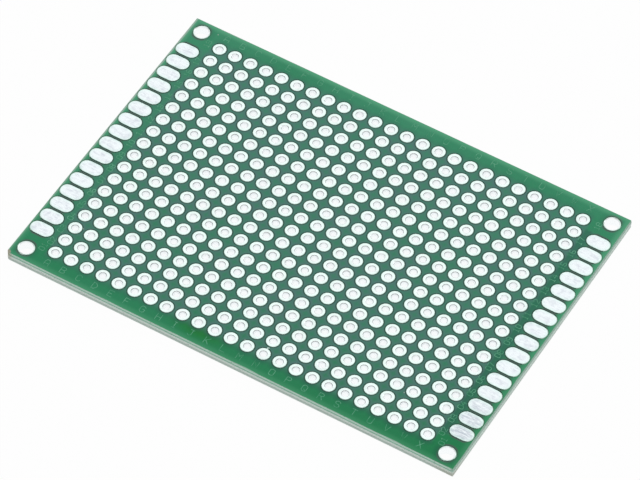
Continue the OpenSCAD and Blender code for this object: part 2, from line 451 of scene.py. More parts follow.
def makeSolderMask(name, low, high):
    spec = solderMask
    material, shader, coords = startMaterial(name)
    spot = coords["Object"]
    x, y, _ = axes(spot)
    sideX, sideY = size(x), size(y)
    clouds = remap(noise(spot, *spec["clouds"]), *spec["cloudBand"])
    cloth = fillGroup(glassCloth, {"Vector": spot, **weave})["Height"]
    wear = fillGroup(scoreWear, {"Vector": spot, "Half length": high.x, "Half width": high.y,
                                 "Reach": spec["chipReach"]})
    dust = fillGroup(specks, {"Vector": spot, **spec["specks"]})["Mask"]
    copper = fillGroup(copperGap, {"Vector": spot})
    # painted light and shade: the clear green is painted lighter towards the back and darker towards the
    # front right, and a painted sheen grows towards the back left
    backStart, backEnd = spec["backShares"]
    paintedBackLight = remap(minus(y, times(x, spec["backSlant"])), low.y * backStart, high.y * backEnd)
    toRight = minus(times(x, spec["rightSlant"]), y)
    tone = plus(*(times(value, share) for value, share in zip((clouds, cloth, paintedBackLight), spec["toneShares"])))
    fromThick = awayFrom(stretched(spot, (1.0, spec["thickStretch"], 0.0)), spec["thickPlace"])
    besideBars = times(across(sideX, barLow.x, *spec["besideBarsX"]),
                       across(sideY, rowYs[-2], *spec["besideBarsY"], unit=pitch))
    inX = times(across(sideX, barLow.x, *spec["filmEnds"]), across(sideX, columnXs[-1], *spec["filmColumns"]))
    inY = across(sideY, rowYs[-1], *spec["filmRows"], unit=pitch)
    # painted shade: greyer near the copper, in patches, inside the grid of pads
    copperShade = times(smooth(copper["Gap"], *spec["filmGap"]), times(minus(inX, besideBars, clamp=True), inY))
    copperShade = times(copperShade, remap(noise(spot, spec["filmScale"]), *spec["filmPatches"]))
    strip = times(across(x, columnXs[-1], *spec["stripColumns"]), across(sideX, barLow.x, *spec["stripBars"]))
    outer = times(across(sideY, rowYs[-1], *spec["outerRows"], unit=pitch),
                  remap(toRight, *spec["outerRight"]), remap(copper["Gap"], *spec["outerGap"]))
    # painted shade in the gaps between the edge pads
    inBars = times(across(sideX, barLow.x, *spec["barFilmInner"]),
                   across(sideX, barHigh.x, *spec["barFilmOuter"]), remap(copper["Gap"], *spec["barFilmGap"]))
    glow = times(smooth(copper["To outline"], *spec["glowBand"]), remap(paintedBackLight, *spec["glowBehind"]))
    hazeStart, hazeEnd = spec["hazeShares"]
    haze = times(across(x, low.x, *spec["hazeBand"], kind="SMOOTHSTEP"),
                 remap(y, hazeStart * low.y, hazeEnd * high.y, *spec["hazeBehind"]))
    byScrews = times(across(sideX, screwX, *spec["byScrews"]), across(sideY, screwY, *spec["byScrews"]))
    # painted shade in the narrow groove beside the copper, weaker by the screw holes
    rim = times(smooth(copper["Gap"], *spec["rimGap"]), remap(byScrews, *spec["rimByScrews"]))
    peel = noise(spot, spec["peelScale"])
    toCorner = plus(awayFrom(spot, (low.x, low.y, high.z)), times(peel, spec["peelReach"]))
    colour = layered(mixColour(tone, spec["deep"], spec["light"]), spec, [
        (times(paintedBackLight, remap(clouds, *spec["paintedSheenShare"])), "paintedSheen"),
        (smooth(toRight, *spec["frontRightShadeBand"]), "frontRightShade"), (smooth(fromThick, *spec["thickBand"]), "thick"),
        (copperShade, "copperShade"), (minus(strip, besideBars, clamp=True), "shade"), (outer, "shade"),
        (inBars, "barGapShade"), (glow, "glow"), (haze, "haze"), (rim, "rim"),
        (times(dust, spec["dustShare"]), "dust"), (wear["Chipped"], "bare"),
        (remap(toCorner, *spec["wornBand"]), "worn")])
    connect(shader, {
        "Base Color": colour, "Normal": bumped(plus(times(cloth, 0.5), times(peel, 0.5)), *spec["bump"]),
        "Roughness": remap(plus(clouds, wear["Rubbed"]), *spec["roughness"]),
        "Specular IOR Level": spec["specular"]})
    return material


for coatName, materialName, low, high in (("solder_mask_top", "greenMaskUpper", maskLow, maskHigh),
                                          ("solder_mask_bottom", "greenMaskLower", underLow, underHigh)):
    coat = nodes[coatName]
    coat.data.materials.clear()
    coat.data.materials.append(makeSolderMask(materialName, low, high))
print("solder mask finished")

tinFinish = {
    "roundPads": {"bright": rgb(245, 255, 253), "dull": rgb(222, 231, 231), "patches": 1.1, "dullness": 0.55,
                  "bump": 0.05, "streakTurn": 20, "wall": -0.46, "kneeShade": 0.12},
    "edgePads": {"bright": rgb(240, 247, 250), "dull": rgb(214, 220, 229), "patches": 1.3, "dullness": 0.7,
                 "bump": 0.25, "streakTurn": 75, "tarnish": 0.8},
    "screwRings": {"bright": rgb(244, 252, 249), "dull": rgb(216, 222, 226), "patches": 1.4, "dullness": 0.6,
                   "bump": 0.2, "streakTurn": 40, "wall": -0.11, "kneeShade": 0.05},
    # painted light: brighter tin inside the barrels
    "barrel": rgb(248, 251, 252),
    "kneeShade": rgb(150, 146, 148),  # painted shade: darker tin at the upper end of the barrels
    "foot": rgb(222, 250, 241),  # flux and mask that cling to the foot of a pad
    "tarnished": rgb(168, 178, 190),
    "footBand": (-0.17, -0.03, 0.0, 0.9),  # gap to the copper's outline, which is negative on a pad
    "crownBand": (-0.5, -0.3, 0.0, 0.25),
    "wallBand": (-0.02, 0.08, 1.0, 0.0),  # past the barrel's wall
    "kneeDepth": (0.1 * mm, 0.3 * mm),
    "barrelRoughness": (0.0, 1.0, 1.0, 0.5),
    "bumpDepth": 0.03 * mm,
    "tarnishPlace": (33 * mm, -18.5 * mm, 0.0),
    "tarnishReach": 9 * mm,
    "tarnishStretch": (0.5, 2.5, 1.0),
    "tarnishStreaks": (1500.0, 3.0, 0.6, 0.8),
    "tarnishBand": (0.4, 0.62),
}


# Tin with its skin; inside the barrels it is painted brighter, as a painted light for the bores, and
# smoother, with painted shade just below the top, and one spot may have gone dull in streaks
def makeTin(name):
    spec, shared = tinFinish[name], tinFinish
    material, shader, coords = startMaterial(name + "Tin")
    spot = coords["Object"]
    skin = fillGroup(tinSkin, {
        "Vector": spot, "Patches per mm": spec["patches"], "Bright": spec["bright"], "Dull": spec["dull"],
        "Dullness": spec["dullness"], "Streak turn": (0, 0, math.radians(spec["streakTurn"]))})
    colour, rough = skin["Color"], skin["Roughness"]
    if "tarnish" in spec:
        streaks = noise(stretched(spot, shared["tarnishStretch"]), *shared["tarnishStreaks"])
        away = awayFrom(spot, shared["tarnishPlace"])
        near = smooth(away, 0.0, shared["tarnishReach"], spec["tarnish"], 0.0)
        colour = mixColour(times(near, remap(streaks, *shared["tarnishBand"])), colour, shared["tarnished"])
    gap = fillGroup(copperGap, {"Vector": spot})["Gap"]
    colour = layered(colour, shared, [(remap(gap, *shared["footBand"]), "foot"),
                                      (remap(gap, *shared["crownBand"]), "foot")])
    if "kneeShade" in spec:
        inBarrel = across(gap, spec["wall"], *shared["wallBand"], unit=1)
        # painted shade just below the top of each barrel
        depth = minus(boardHigh.z, axes(spot)[2])
        kneeShade = times(inBarrel, remap(depth, *shared["kneeDepth"], spec["kneeShade"], 0.0))
        colour = layered(colour, shared, [(inBarrel, "barrel"), (kneeShade, "kneeShade")])
        rough = times(rough, remap(inBarrel, *shared["barrelRoughness"]))
    connect(shader, {"Base Color": colour, "Roughness": rough, "Metallic": 1.0,
                     "Normal": bumped(skin["Height"], spec["bump"], shared["bumpDepth"])})
    return material


roundTin, barTin, screwTin = makeTin("roundPads"), makeTin("edgePads"), makeTin("screwRings")

holeShape = {
    "barrelWall": 0.05 * mm,
    "lowerCrown": 0.3,  # a crown may be this share lower on its thin side
    "crownLoss": (0.1, 1),  # and takes this much of it
    "outOfRound": 0.012,
    "ovalRange": (-1, 0.5),
    "nickWidth": 0.08,
}

leadHoles = {
    **holeShape,
    "seed": 2540,
    "segments": 16,
    "boreRadius": 0.5 * mm,
    # from the pad's foot over its crown into the bore: share of the ring's width, share of the tin's height
    "section": [(1, 0), (0.93, 0.9), (0.52, 1), (0.12, 0.92), (0.025, 0.2), (0, -1.1)],
    "mouthDrift": 0.03 * mm,  # how far a mouth's centre wanders off the pad's
    "notches": (0, 0.0),
}

screwHoles = {
    **holeShape,
    "seed": 66,
    "segments": 48,
    "boreRadius": screwMount["dims"]["hole_r_mm"] * mm,
    "section": [(1, 0), (0.9, 0.5), (0.6, 0.7), (0.3, 0.6), (0.05, 0.2), (0, -0.5)],
    "mouthDrift": 0.004 * mm,
    "notches": (3, 0.07 * mm),  # nicks of the outline, and how deep
}


# Rings turned about each centre: a closed section (share of the ring, share of the tin's height) swept round,
# with the crown tipped to one side, the mouth moved off centre and the outline a little out of round. The
# corners lie a little outside the circle, so that the many-sided ring covers the same area.
def tinnedHoles(name, centres, outerRadius, spec, seed):
    rng = np.random.default_rng(seed)
    count, segments = len(centres), spec["segments"]
    perHole = (count, 1, 1)
    share, rise = np.array(spec["section"], float).T
    width = outerRadius - spec["boreRadius"]
    barrel = spec["barrelWall"] / width
    upper, lower = boardHigh.z + rise * tinHeight, boardLow.z - rise * tinHeight
    radialShare = np.concatenate([share, share[::-1], [barrel, barrel]])
    height = np.concatenate([upper, lower[::-1], [boardLow.z, boardHigh.z]])
    proud = np.concatenate([np.maximum(rise, 0), np.maximum(rise[::-1], 0), [0, 0]])
    side = np.concatenate([np.ones(len(share)), -np.ones(len(share)), [0, 0]])
    angle = rng.uniform(0, fullTurn, perHole) + (np.arange(segments) * fullTurn / segments)[None, :, None]
    thinSide, lobes = rng.uniform(0, fullTurn, (2, *perHole))
    loss = rng.uniform(*spec["crownLoss"], perHole) * spec["lowerCrown"]
    drop = proud * tinHeight * loss * (0.5 - 0.5 * np.cos(angle - thinSide))
    equalArea = math.sqrt(fullTurn / segments / math.sin(fullTurn / segments))
    oval = spec["outOfRound"] * rng.uniform(*spec["ovalRange"], perHole)
    wobble = equalArea + oval * np.cos(2 * angle + lobes) * radialShare
    radius = (spec["boreRadius"] + radialShare * width) * wobble
    nickCount, nickDepth = spec["notches"]
    # one place a hole is drawn even where there are no nicks, so that the draws that follow stay in step
    nickPlaces = rng.uniform(0, fullTurn, (max(nickCount, 1), *perHole))
    nicks = np.exp(-((np.cos((angle - nickPlaces) / 2) / spec["nickWidth"]) ** 2)).sum(axis=0) * nickDepth
    radius -= nicks * radialShare * (proud > 0)
    driftWay = rng.uniform(0, fullTurn, perHole)
    drift = rng.uniform(0, 1, perHole) * spec["mouthDrift"] * (1 - radialShare)
    x = centres[:, 0, None, None] + radius * np.cos(angle) + drift * np.cos(driftWay)
    y = centres[:, 1, None, None] + radius * np.sin(angle) + drift * np.sin(driftWay)
    points = np.stack(np.broadcast_arrays(x, y, height - side * drop), axis=-1)
    quads = repeatQuads(gridQuads(segments, len(height)), count, segments * len(height))
    return meshPiece(name, points.reshape(-1, 3), quads, sharpAngle=40)


for rowNumber, (rowName, rowY) in enumerate(zip(rowNames, rowYs), start=1):
    centres = np.stack([columnXs, np.full(columnCount, rowY)], axis=-1)
    ring = tinnedHoles(f"tinned_holes_row_{rowNumber:02d}", centres, padRadius, leadHoles,
                       leadHoles["seed"] + rowNumber)
    finishPiece(ring, roundTin, "tin", rowName)
screwCentres = np.array([(sx * screwX, sy * screwY) for sx in (-1, 1) for sy in (-1, 1)])
finishPiece(tinnedHoles("screw_hole_rings", screwCentres, screwRingRadius, screwHoles, screwHoles["seed"]),
            screwTin, "tin", "screw_hole_plating")
print("tinned holes finished:", len(rowNames) * columnCount)

edgePads = {
    "seed": 345,
    "undersideSeed": 10,  # added for the pads below
    "straightSteps": 6,
    "archSteps": 8,
    # from the foot inwards: inset as a share of half the width, share of the tin's height
    "section": [(0, 0), (0, 0.57), (0.05, 0.78), (0.14, 0.94), (0.28, 1), (0.45, 1), (0.62, 1), (0.8, 1),
                (1, 1)],
    "wavelengths": (0.5 * mm, 0.8 * mm, 1.3 * mm, 2.1 * mm),
    "waviness": 0.22,  # share of the tin's height lost in the hollows
    "wavyAbove": 0.6,  # share of the tin's height
}


# Long pads with round ends: each ring is the outline moved in by an inset, and the top is lowered by sine
# waves that run in random directions. The last ring closes on the pad's centre line, as the first does below.
def tinnedBars(name, centres, length, width, foot, rise, seed):
    spec = edgePads
    rng = np.random.default_rng(seed)
    half, straight = width / 2, (length - width) / 2
    along = np.linspace(straight, -straight, spec["straightSteps"] + 1)[:-1]
    turn = np.linspace(math.pi / 2, 3 * math.pi / 2, spec["archSteps"] + 1)[:-1]
    flat = np.zeros_like(along)
    centreX = np.concatenate([along, np.full(len(turn), -straight), -along, np.full(len(turn), straight)])
    wayX = np.concatenate([flat, np.cos(turn), flat, -np.cos(turn)])
    wayY = np.concatenate([flat + 1, np.sin(turn), flat - 1, -np.sin(turn)])
    inset, height = np.array([(1, 0)] + spec["section"], float).T
    reach = half * (1 - inset)
    x = centreX[None, :] + reach[:, None] * wayX[None, :]
    y = reach[:, None] * wayY[None, :]
    waves = np.zeros((len(centres), *x.shape))
    for wavelength in spec["wavelengths"]:
        way, start = rng.uniform(0, fullTurn, (2, len(centres), 1, 1))
        waves += np.sin(fullTurn * (x * np.cos(way) + y * np.sin(way)) / wavelength + start)
    wavy = (height > spec["wavyAbove"])[:, None]
    loss = spec["waviness"] * (0.5 + 0.5 * waves / len(spec["wavelengths"])) * wavy
    z = foot + rise * height[None, :, None] * (1 - loss)
    places = centres[:, :, None, None]
    points = np.stack(np.broadcast_arrays(places[:, 0] + x, places[:, 1] + y, z), axis=-1)
    points = points.transpose(0, 2, 1, 3)
    around, rings = len(centreX), len(inset)
    quads = repeatQuads(gridQuads(around, rings, closeSteps=False), len(centres), around * rings)
    if rise < 0:
        quads = quads[:, ::-1]
    return meshPiece(name, points.reshape(-1, 3), quads, welded=True)


for face, foot, rise in (("top", boardHigh.z, tinHeight), ("bottom", boardLow.z, -tinHeight)):
    for sideNumber, sideName in enumerate(("left", "right")):
        nodeName = f"edge_pads_{face}_{sideName}"
        low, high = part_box(nodeName)
        padYs = rowYs[(rowYs > low.y) & (rowYs < high.y)]
        centres = np.stack([np.full(len(padYs), (low.x + high.x) / 2), padYs], axis=-1)
        seed = edgePads["seed"] + sideNumber + (edgePads["undersideSeed"] if rise < 0 else 0)
        width = 2 * (high.y - padYs[-1])
        bars = tinnedBars("tinned_" + nodeName, centres, high.x - low.x, width, foot, rise, seed)
        finishPiece(bars, barTin, "tin", nodeName)
print("tinned edge pads finished")

solderFleck = {
    "place": (3.85 * mm, -20.41 * mm),
    "halfSizes": (0.2 * mm, 0.085 * mm),
    "turn": 40,
    "rise": 0.03 * mm,
    "stations": 12,
    "rings": (1, 0.85, 0.55, 0),
    "lobes": (3, 1, 0.18),  # how many, where they start (radians), and how far they stand out
}


# A splash of solder on the mask: a flat dome over a lobed oval, lower by the square of the share of its reach
def makeFleck():
    spec = solderFleck
    share = np.array(spec["rings"])[None, :]
    angle = (np.arange(spec["stations"]) * math.pi / (spec["stations"] / 2))[:, None]
    lobes, start, depth = spec["lobes"]
    reach = share * (1 + depth * np.cos(lobes * angle + start))
    turn = math.radians(spec["turn"])
    along, aside = reach * np.cos(angle) * spec["halfSizes"][0], reach * np.sin(angle) * spec["halfSizes"][1]
    x = spec["place"][0] + along * math.cos(turn) - aside * math.sin(turn)
    y = spec["place"][1] + along * math.sin(turn) + aside * math.cos(turn)
    z = np.broadcast_to(maskHigh.z + spec["rise"] * (1 - share ** 2), x.shape)
    quads = gridQuads(spec["stations"], len(spec["rings"]), closeSteps=False)
    return meshPiece("solder_fleck", np.stack([x, y, z], axis=-1).reshape(-1, 3), quads, welded=True)


finishPiece(makeFleck(), roundTin, "tin")

# The laminate is a core with the drilled holes, and the snapped rim round it
laminate = {
    "core": rgb(36, 84, 66),  # seen only beside the copper, painted dark as the shade of that narrow gap; also the colour of the dark specks on the snapped edge
    "coreByScrews": rgb(66, 136, 102),
    "resin": rgb(184, 230, 208),
    "fibre": rgb(222, 240, 231),
    "shade": rgb(132, 190, 162),
    # painted light: the lower score, which faces down, is paler
    "litLowerCut": rgb(220, 231, 225),
    "shortSides": rgb(80, 126, 108),  # darker green on the upper cut of the short sides
    # painted light: the short sides, which are lit more, are mixed a little towards this paler colour
    "worn": rgb(214, 224, 218),
    "burnt": rgb(176, 160, 132),  # soiled resin on the worn corner
    # plies that stand out on the long sides: colour, depth below the top, half width, fade (mm), strength;
    # the first, just below the top, is a painted highlight along the edge
    "plyLines": [(rgb(226, 244, 234), 0.06, 0.08, 0.1, 0.75), (rgb(96, 148, 122), 0.34, 0.04, 0.1, 0.28),
                 (rgb(238, 246, 240), 0.74, 0.12, 0.14, 0.6), (rgb(120, 146, 134), 1.1, 0.05, 0.12, 0.24)],
    "plyLinesShort": (0.0, 1.0, 1.0, 0.2),  # their strength on the short sides
    "plies": 5,
    "plyShare": 0.2,
    "wornRadius": 0.8 * mm,
    "scoreTop": 0.4 * mm,
    "scoreBottom": 0.6 * mm,
    "rimWidth": 0.85 * mm,
    "cornerRadius": 0.12 * mm,
    "cornerSteps": 9,
    "stepLength": 0.16 * mm,
    "tornDepth": 0.045 * mm,
    "tearWaves": [(6.0, 0.3), (2.3, 0.35), (1.1, 0.45), (0.62, 0.6), (0.45, 0.5)],  # length (mm), height
    "tearSheets": 4,  # levels of the rim with waves of their own
    "tearMean": 0.5,
    "tearShare": 0.4,
    "tearRange": (0, 1.6),
    "seed": 70,
    "scoreSteps": (0, 0.12, 0.4, 0.7),  # shares of the way down a score, the last one before the web
    "webSteps": 7,
    "tornScore": (0.12, 0.2, 0.15, 0.2),  # share of the tearing at each of those levels
    "tornWeb": (0.5, 0.9, 1, 1, 1, 0.9, 0.5),
}

coreLooks = {
    "cloudScale": 300.0,
    "clothShare": 0.2,
    "screwReach": 1.6 * mm,
    "bump": (0.3, 0.02 * mm),
    "roughness": (0.3, 0.7, 0.4, 0.6),
}


def makeCoreLaminate():
    spec = coreLooks
    material, shader, coords = startMaterial("laminateCore")
    spot = coords["Object"]
    cloth = fillGroup(glassCloth, {"Vector": spot, **weave})["Height"]
    clouds = noise(spot, spec["cloudScale"])
    colour = mixColour(times(cloth, times(clouds, spec["clothShare"])), laminate["core"], laminate["shade"])
    byScrews = times(*(maths("GREATER_THAN", size(value), line - spec["screwReach"])
                       for value, line in zip(axes(spot), (screwX, screwY))))
    connect(shader, {"Base Color": mixColour(byScrews, colour, laminate["coreByScrews"]),
                     "Normal": bumped(cloth, *spec["bump"]), "Roughness": remap(clouds, *spec["roughness"])})
    return material


# Lengths are in millimetres, as on the rim's map, and places in metres
edgeLooks = {
    "fibreStretch": (0.9, 14.0, 1.0),
    "fibres": (1.0, 4.0, 0.65, 0.4),
    "tuftStretch": (5.0, 9.0, 1.0),
    "tufts": (1.0, 3.0, 0.6),
    "layerBand": (0.35, 0.65),
    "webLow": (-0.08, 0.05),  # about the lower score's end
    "webHigh": (-0.05, 0.08, 1.0, 0.0),
    "tornBand": (0.3, 0.6, 0.45, 1.0),
    "shortSide": (-0.5, -0.3),
    "upperCut": (-0.02, -0.05),  # from the end of the upper score to just below the top
    "upperShare": 0.8,
    "wornShare": 0.25,
    "lowerCut": (-0.05, 0.05, 0.85, 0.0),
    "wornSpot": 0.0013,  # height of the middle of the soiled corner
    "rightBand": (0.5 * mm, 4 * mm, 0.35, 0.0),
    "rightHeight": (0.5, 1.1, 1.0, 0.0),
    "tuftReach": 0.5 * mm,
    "soiledBand": (0.7 * mm, 1.5 * mm, 0.7, 0.0),
    "specks": {"Per mm": 1.5, "Size": 0.2, "Share": 0.3},
    "dustShare": 0.35,
    "webHeight": 0.2,
    "bump": (0.6, 0.04 * mm),
    "roughness": (0.3, 0.7, 0.5, 0.8),
    "specular": 0.35,
}


# Along the rim's own map: U runs with the edge and V up the board, both in millimetres
def makeSnappedEdge():
    spec = edgeLooks
    material, shader, coords = startMaterial("snappedGlassEpoxy")
    run, spot = coords["UV"], coords["Object"]
    up = axes(run)[1]
    fibres = noise(stretched(run, spec["fibreStretch"]), *spec["fibres"])
    tufts = noise(stretched(run, spec["tuftStretch"]), *spec["tufts"])
    thickness = (boardHigh.z - boardLow.z) / mm
    scoreLow, scoreHigh = laminate["scoreBottom"] / mm, thickness - laminate["scoreTop"] / mm
    plies = maths("SINE", times(up, 2 * math.pi * laminate["plies"] / thickness))
    layers = remap(plus(times(plies, laminate["plyShare"]), fibres), *spec["layerBand"])
    inWeb = times(across(up, scoreLow, *spec["webLow"], unit=1),
                  across(up, scoreHigh, *spec["webHigh"], unit=1))
    onShort = across(size(axes(spot)[0]), boardHigh.x, *spec["shortSide"])
    upperCut = remap(up, scoreHigh + spec["upperCut"][0], thickness + spec["upperCut"][1])
    colour = layered(mixColour(layers, laminate["shade"], laminate["resin"]), laminate, [
        (times(inWeb, remap(tufts, *spec["tornBand"])), "fibre"),
        (times(upperCut, times(onShort, spec["upperShare"])), "shortSides"),
        # painted light on the short sides
        (times(onShort, spec["wornShare"]), "worn"),
        (across(up, scoreLow, *spec["lowerCut"], unit=1), "litLowerCut")])
    for lineColour, depth, halfWidth, fade, share in laminate["plyLines"]:
        line = remap(size(minus(up, thickness - depth)), halfWidth, halfWidth + fade, share, 0.0)
        colour = mixColour(times(line, remap(onShort, *laminate["plyLinesShort"])), colour, lineColour)
    corner = awayFrom(spot, (boardLow.x, boardLow.y, spec["wornSpot"]))
    frontRight = awayFrom(spot, (boardHigh.x, boardLow.y, 0.0))
    dust = fillGroup(specks, {"Vector": spot, **spec["specks"]})["Mask"]
    colour = layered(colour, laminate, [
        (times(remap(frontRight, *spec["rightBand"]), remap(up, *spec["rightHeight"])), "burnt"),
        (remap(plus(corner, times(tufts, spec["tuftReach"])), *spec["soiledBand"]), "burnt"),
        (times(dust, spec["dustShare"]), "core")])
    height = plus(fibres, times(tufts, plus(inWeb, spec["webHeight"])))
    connect(shader, {"Base Color": colour, "Normal": bumped(height, *spec["bump"]),
                     "Roughness": remap(tufts, *spec["roughness"]), "Specular IOR Level": spec["specular"]})
    return material


# The CAD laminate cut off on all four sides at the rim's inner edge, each cut closed with one face
def coreFromCad():
    core = nodes["laminate"].copy()
    core.data = nodes["laminate"].data.copy()
    core.name = core.data.name = "laminate_core"
    core.parent = None
    for key in list(core.keys()):
        if key.startswith("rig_"):
            del core[key]
    bpy.context.scene.collection.objects.link(core)
    reachX, reachY = boardHigh.x - laminate["rimWidth"], boardHigh.y - laminate["rimWidth"]

    def cutSides(work):
        for way, reach in (((1, 0, 0), reachX), ((-1, 0, 0), reachX),
                           ((0, 1, 0), reachY), ((0, -1, 0), reachY)):
            parts = work.verts[:] + work.edges[:] + work.faces[:]
            cut = bmesh.ops.bisect_plane(work, geom=parts, dist=cutReach, plane_co=Vector(way) * reach,
                                         plane_no=way, clear_outer=True)["geom_cut"]
            edges = [part for part in cut if isinstance(part, bmesh.types.BMEdge)]
            bmesh.ops.edgeloop_fill(work, edges=edges)

    editMesh(core.data, weld, cutSides, faceOutwards)
    return core


# Points at even steps round the board's outline, with their distance along it: straight sides, three small
# round corners and the worn one
def rimOutline():
    spec = laminate
    hx, hy, small = boardHigh.x, boardHigh.y, spec["cornerRadius"]
    path = []
    for x, y, radius, start in ((-hx, -hy, spec["wornRadius"], 180), (hx, -hy, small, 270),
                                (hx, hy, small, 0), (-hx, hy, small, 90)):
        centre = np.array([x - math.copysign(radius, x), y - math.copysign(radius, y)])
        turn = np.radians(start + np.linspace(0, 90, spec["cornerSteps"]))
        path.append(centre + radius * np.stack([np.cos(turn), np.sin(turn)], axis=-1))
    path = np.concatenate(path + [path[0][:1]])
    along = np.concatenate([[0], np.cumsum(np.linalg.norm(np.diff(path, axis=0), axis=1))])
    count = round(along[-1] / spec["stepLength"])
    steps = np.arange(count) * along[-1] / count
    return np.stack([np.interp(steps, along, path[:, axis]) for axis in (0, 1)], axis=-1), steps


# A sum of random sine waves along a closed path: one wave for each wavelength, with its own height and start
def smoothNoise(along, waves, rng):
    total = along[-1] + (along[-1] - along[-2])
    value = np.zeros_like(along)
    for wavelength, height in waves:
        turns = max(1, round(total / (wavelength * mm)))
        value += height * np.sin(fullTurn * turns * along / total + rng.uniform(0, fullTurn))
    return value


# The rim's section (inset from the web, height) carried round the outline. A point is the outline's point
# pulled back inside the board's rectangle shrunk by the inset, and noise along the edge tears the web in.
def snappedRim():
    spec = laminate
    rng = np.random.default_rng(spec["seed"])
    outline, along = rimOutline()
    topInset, bottomInset = boardHigh.x - maskHigh.x, boardHigh.x - underHigh.x
    webTop, webBottom = boardHigh.z - spec["scoreTop"], boardLow.z + spec["scoreBottom"]
    down = np.array(spec["scoreSteps"])
    web = np.linspace(0, 1, spec["webSteps"])
    up = down[::-1]
    tornUp = spec["tornScore"][:0:-1]
    inset = np.concatenate([topInset * (1 - down), 0 * web, bottomInset * up[:-1], [bottomInset],
                            [spec["rimWidth"]] * 2])
    height = np.concatenate([
        boardHigh.z - spec["scoreTop"] * down, webTop + (webBottom - webTop) * web,
        boardLow.z + spec["scoreBottom"] * up[:-1], [boardLow.z], [boardLow.z, boardHigh.z]])
    torn = np.concatenate([spec["tornScore"], spec["tornWeb"], tornUp, [spec["tornScore"][0]], [0, 0]])
    tear = np.stack([smoothNoise(along, spec["tearWaves"], rng) for _ in range(spec["tearSheets"])])
    level = np.linspace(0, spec["tearSheets"] - 1, len(height))
    lowTear, highTear = tear[np.floor(level).astype(int)], tear[np.ceil(level).astype(int)]
    mixed = lowTear + (highTear - lowTear) * (level % 1)[:, None]
    grit = rng.uniform(-0.5, 0.5, mixed.shape)
    tearing = np.clip(spec["tearMean"] + spec["tearShare"] * (mixed + grit), *spec["tearRange"])
    depth = tearing * torn[:, None] * spec["tornDepth"]
    back = inset[:, None] + depth
    x = np.clip(outline[None, :, 0], back - boardHigh.x, boardHigh.x - back)
    y = np.clip(outline[None, :, 1], back - boardHigh.y, boardHigh.y - back)
    z = np.broadcast_to(height[:, None], x.shape)
    points = np.stack([x, y, z], axis=-1).transpose(1, 0, 2)
    stations, levels = len(along), len(height)
    rim = meshPiece("snapped_rim", points.reshape(-1, 3), gridQuads(stations, levels)[:, ::-1], sharpAngle=35)
    addRunMap(rim.data, along, height, stations, levels)
    return rim


# U is the distance along the edge and V the height above the laminate's underside, in millimetres. Faces that
# close the loop take the length of the whole round as their end.
def addRunMap(mesh, along, height, stations, levels):
    corner = np.zeros(len(mesh.loops), np.int32)
    mesh.loops.foreach_get("vertex_index", corner)
    corner = corner.reshape(-1, 4)
    station, level = corner // levels, corner % levels
    closing = (station == 0) & (station.max(axis=1, keepdims=True) == stations - 1)
    u = np.where(closing, along[-1] + along[1], along[station])
    v = height[level] - boardLow.z
    layer = mesh.uv_layers.new(name="edgeRun")
    layer.data.foreach_set("uv", (np.stack([u, v], axis=-1) / mm).astype(np.float32).ravel())


finishPiece(coreFromCad(), makeCoreLaminate(), "laminate", "laminate")
finishPiece(snappedRim(), makeSnappedEdge(), "laminate", "laminate")
print("laminate finished")

# Index marks are raised strokes under the mask, letters for the columns and numbers for the rows
indexMarks = {
    "letters": "ABCDEFGHIJKLMNOPQRSTUVWX",
    "letterHeight": 1.02 * mm,
    "numberHeight": 0.8 * mm,
    "widthShare": 0.68,  # width of a sign against its height
    "spacing": 0.22,  # gap between signs against the height
    "grid": (4, 6),  # steps across and up in the strokes below
    "halfStroke": 0.055 * mm,
    "topShare": 0.55,  # the bar's flat top against its foot
    "sharpestTurn": 0.5,  # at a sharper turn the bar isn't widened further
    "letterFront": -23.65 * mm,
    "letterBack": 23.78 * mm,
    "numberX": 30.72 * mm,
    "outerShift": {-1: 0.45 * mm, 1: 0.8 * mm},  # first and last row, left and right
    "numberShift": -1.05 * mm,
    "raised": 0.014 * mm,
    "sunk": 0.004 * mm,
    "lift": 0.0015 * mm,  # each further stroke of a sign lies this much higher than the one it crosses
    "light": rgb(112, 186, 150),
    "deep": rgb(66, 154, 114),
    "patches": (1100.0, 3.0, 0.6),
    "patchBand": (0.35, 0.65),
    "bump": (0.1, 0.02 * mm),
    "roughness": (0.3, 0.7, 0.3, 0.5),
}

# each sign is one or more strokes between the points of the grid: "26" is x 2, y 6
signStrokes = {
    "A": "00 04 16 36 44 40|02 42", "B": "00 06 36|36 45 44 33 03|33 42 41 30 00",
    "C": "45 36 16 05 01 10 30 41", "D": "00 06 26 44 42 20 00", "E": "46 06 00 40|03 33",
    "F": "46 06 00|03 33",
    "G": "45 36 16 05 01 10 30 41 43 23", "H": "00 06|40 46|03 43", "I": "10 30|16 36|20 26",
    "J": "01 10 20 31 36|16 46", "K": "00 06|46 02|13 40", "L": "06 00 40", "M": "00 06 23 46 40",
    "N": "00 06 40 46", "O": "01 05 16 36 45 41 30 10 01", "P": "00 06 36|36 45 44 33 03",
    "Q": "01 05 16 36 45 41 30 10 01|22 40", "R": "00 06 36|36 45 44 33 03|23 40",
    "S": "45 36 16 05 04 13 33 42 41 30 10 01", "T": "06 46|20 26", "U": "06 01 10 30 41 46", "V": "06 20 46",
    "W": "06 10 24 30 46", "X": "00 46|06 40", "0": "01 05 16 36 45 41 30 10 01", "1": "10 30|20 26 15",
    "2": "05 16 36 45 44 00 40", "3": "05 16 36 45 44 33 13|33 42 41 30 10 01", "4": "30 36 02|02 42",
    "5": "46 06 03 33 42 41 30 10 01", "6": "36 16 05 01 10 30|30 41 42 33 03", "7": "06 46 20",
    "8": "13 04 05 16 36 45 44 33 13|13 02 01 10 30 41 42 33", "9": "45 41 30 10|43 13 04 05 16 36 45",
}


